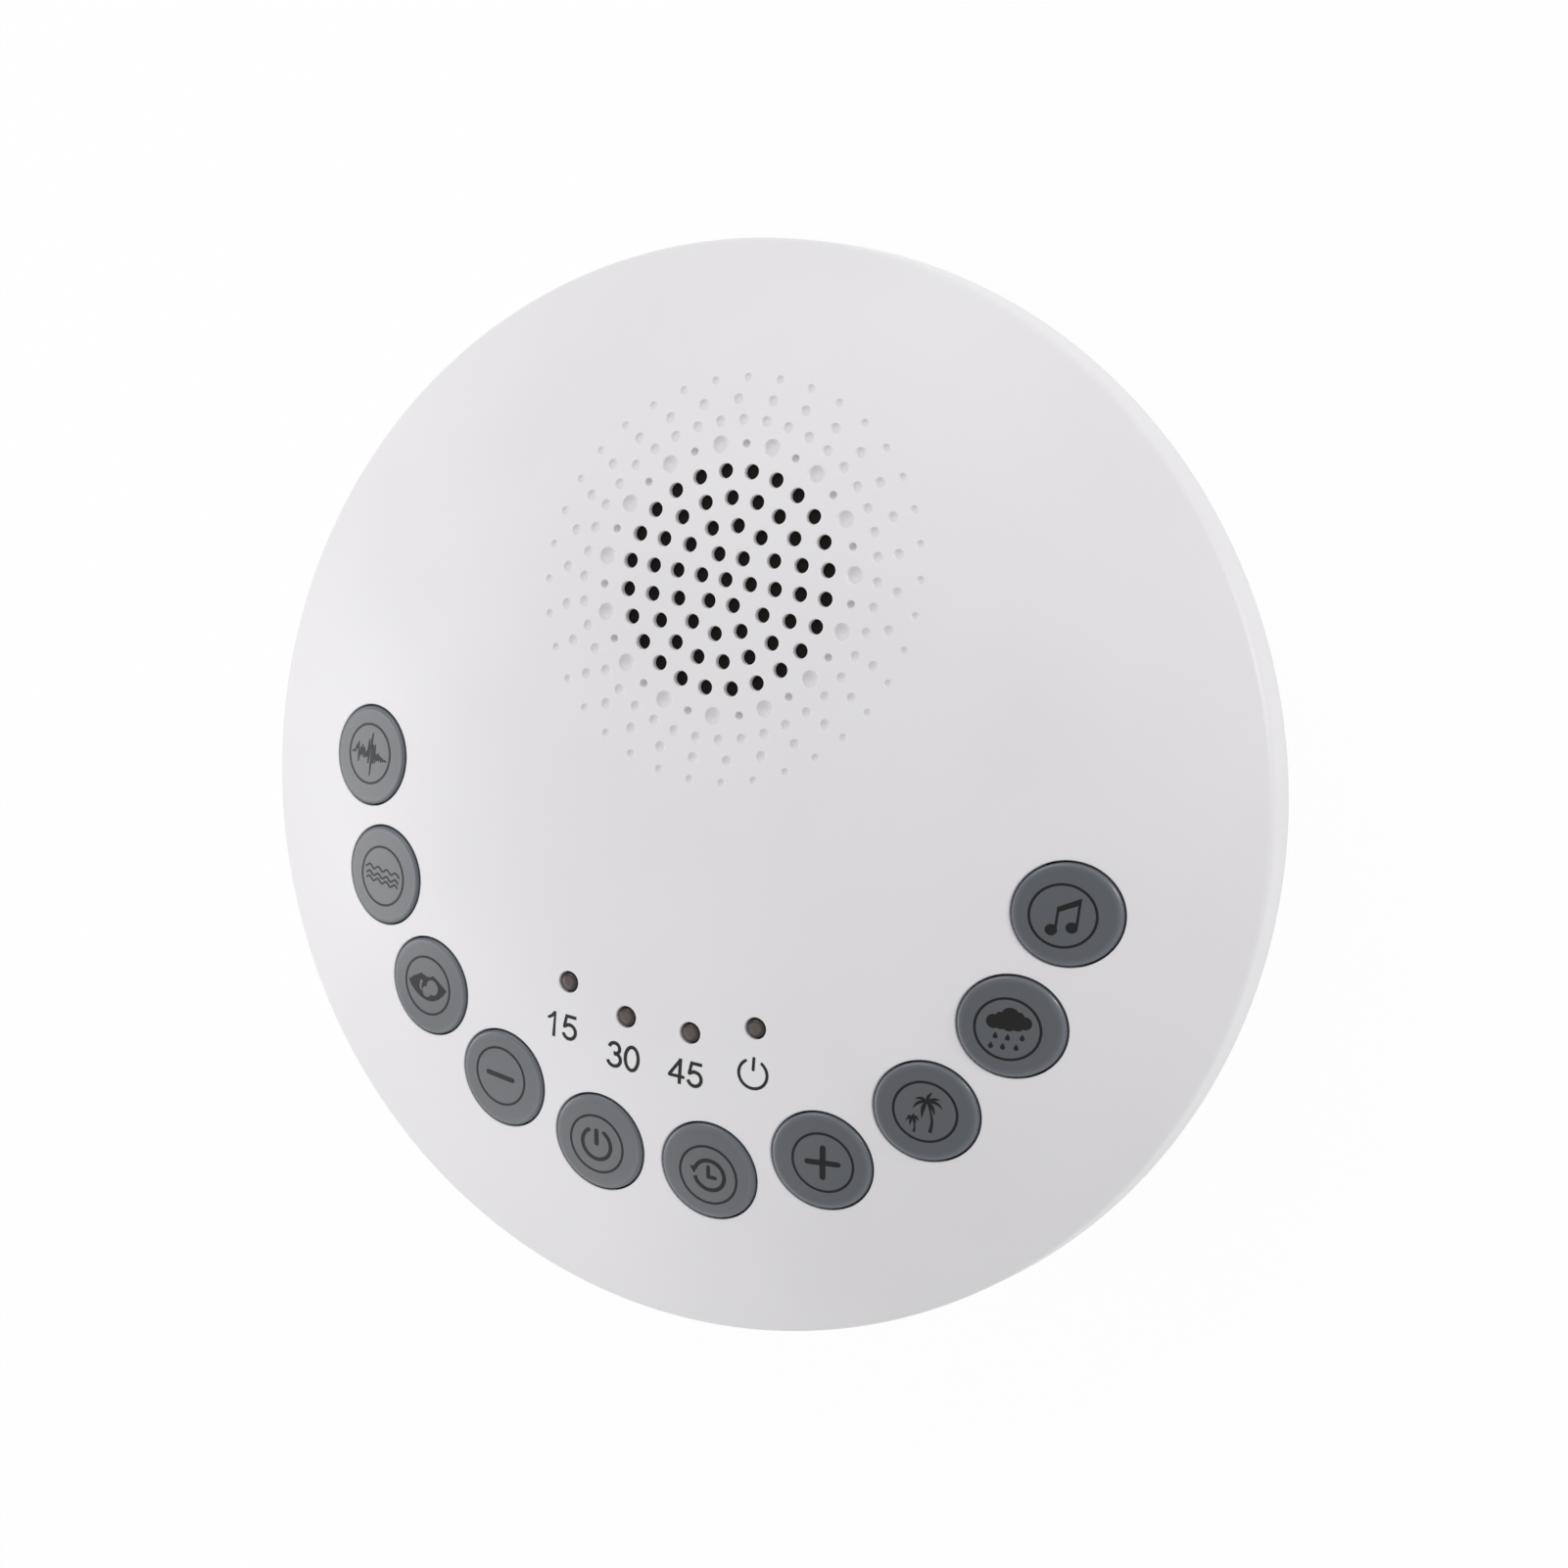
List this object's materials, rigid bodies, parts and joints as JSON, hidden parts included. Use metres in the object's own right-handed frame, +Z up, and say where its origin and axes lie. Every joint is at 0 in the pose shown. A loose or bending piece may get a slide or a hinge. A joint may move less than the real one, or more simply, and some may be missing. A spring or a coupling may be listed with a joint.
{
  "type": "white noise machine",
  "caption": "Round domed white noise machine with a perforated speaker grille, an arc of push keys and timer lamps on top, and a battery bay with a hinged door underneath.",
  "frame": {"origin": "middle of the footprint, in the plane that the feet stand on", "axes": "+Z up through the dome, -Y towards the side with the keys, +X to the right seen from there"},
  "size_m": [0.125, 0.125, 0.0455],
  "materials": {
    "shell_white": "fine satin ABS",
    "key_grey": "satin silicone-like",
    "pill_black": "carbon",
    "web_grey": "matte silicone",
    "board_green": "solder mask",
    "chip_black": "epoxy",
    "capacitor_can": "sleeved can",
    "lamp_body": "moulded",
    "smoke_lens": "smoky diffusing plastic",
    "speaker_steel": "black",
    "magnet_steel": "zinc plated",
    "ferrite": "ground ferrite",
    "copper": "enamelled winding",
    "cone_black": "paper",
    "soft_black": "soft",
    "inner_plastic": "moulded",
    "screw_steel": "zinc plated",
    "cell_can": "printed sleeve, plain",
    "spring_steel": "nickel plated",
    "jack_black": "moulded",
    "jack_metal": "nickel plated",
    "foot_rubber": "matte",
    "cloth_black": "acoustic cloth"
  },
  "bodies": {
    "case": {"amplifier_chip": "chip_black", "battery_cells": "cell_can", "board_screws": "screw_steel", "bottom_shell": "shell_white", "capacitors": "capacitor_can", "case_screws": "screw_steel", "clamp_screws": "screw_steel", "contacts_left": "spring_steel", "contacts_right": "spring_steel", "dust_cap": "cone_black", "grille_cloth": "cloth_black", "jack_pin": "jack_metal", "keypad_web": "web_grey", "lamps": "lamp_body", "light_guide": "smoke_lens", "main_board": "board_green", "power_board": "board_green", "power_board_screws": "screw_steel", "power_jack": "jack_black", "rubber_feet": "foot_rubber", "sound_chip": "chip_black", "speaker_clamp": "inner_plastic", "speaker_cone": "cone_black", "speaker_frame": "speaker_steel", "speaker_gasket": "soft_black", "speaker_magnet": "ferrite", "speaker_plate": "magnet_steel", "speaker_surround": "soft_black", "speaker_terminals": "inner_plastic", "speaker_yoke": "magnet_steel", "top_shell": "shell_white", "voice_coil": "copper"},
    "key_white_noise": {"key_white_noise": "key_grey", "pill_white_noise": "pill_black"},
    "key_ocean": {"key_ocean": "key_grey", "pill_ocean": "pill_black"},
    "key_calm": {"key_calm": "key_grey", "pill_calm": "pill_black"},
    "key_volume_down": {"key_volume_down": "key_grey", "pill_volume_down": "pill_black"},
    "key_power": {"key_power": "key_grey", "pill_power": "pill_black"},
    "key_timer": {"key_timer": "key_grey", "pill_timer": "pill_black"},
    "key_volume_up": {"key_volume_up": "key_grey", "pill_volume_up": "pill_black"},
    "key_palms": {"key_palms": "key_grey", "pill_palms": "pill_black"},
    "key_rain": {"key_rain": "key_grey", "pill_rain": "pill_black"},
    "key_music": {"key_music": "key_grey", "pill_music": "pill_black"},
    "battery_door": {"battery_door": "shell_white"}
  },
  "joints": [
    {"name": "press_white_noise", "type": "slide", "parent": "case", "child": "key_white_noise", "axis": [0, 0, -1], "range_m": [0, 0.001], "stiffness_N_per_m": 1500},
    {"name": "press_ocean", "type": "slide", "parent": "case", "child": "key_ocean", "axis": [0, 0, -1], "range_m": [0, 0.001], "stiffness_N_per_m": 1500},
    {"name": "press_calm", "type": "slide", "parent": "case", "child": "key_calm", "axis": [0, 0, -1], "range_m": [0, 0.001], "stiffness_N_per_m": 1500},
    {"name": "press_volume_down", "type": "slide", "parent": "case", "child": "key_volume_down", "axis": [0, 0, -1], "range_m": [0, 0.001], "stiffness_N_per_m": 1500},
    {"name": "press_power", "type": "slide", "parent": "case", "child": "key_power", "axis": [0, 0, -1], "range_m": [0, 0.001], "stiffness_N_per_m": 1500},
    {"name": "press_timer", "type": "slide", "parent": "case", "child": "key_timer", "axis": [0, 0, -1], "range_m": [0, 0.001], "stiffness_N_per_m": 1500},
    {"name": "press_volume_up", "type": "slide", "parent": "case", "child": "key_volume_up", "axis": [0, 0, -1], "range_m": [0, 0.001], "stiffness_N_per_m": 1500},
    {"name": "press_palms", "type": "slide", "parent": "case", "child": "key_palms", "axis": [0, 0, -1], "range_m": [0, 0.001], "stiffness_N_per_m": 1500},
    {"name": "press_rain", "type": "slide", "parent": "case", "child": "key_rain", "axis": [0, 0, -1], "range_m": [0, 0.001], "stiffness_N_per_m": 1500},
    {"name": "press_music", "type": "slide", "parent": "case", "child": "key_music", "axis": [0, 0, -1], "range_m": [0, 0.001], "stiffness_N_per_m": 1500},
    {"name": "battery_door_hinge", "type": "hinge", "parent": "case", "child": "battery_door", "pos_m": [0, 0.01175, 0.0015], "axis": [1, 0, 0], "range_deg": [0, 80]}
  ]
}
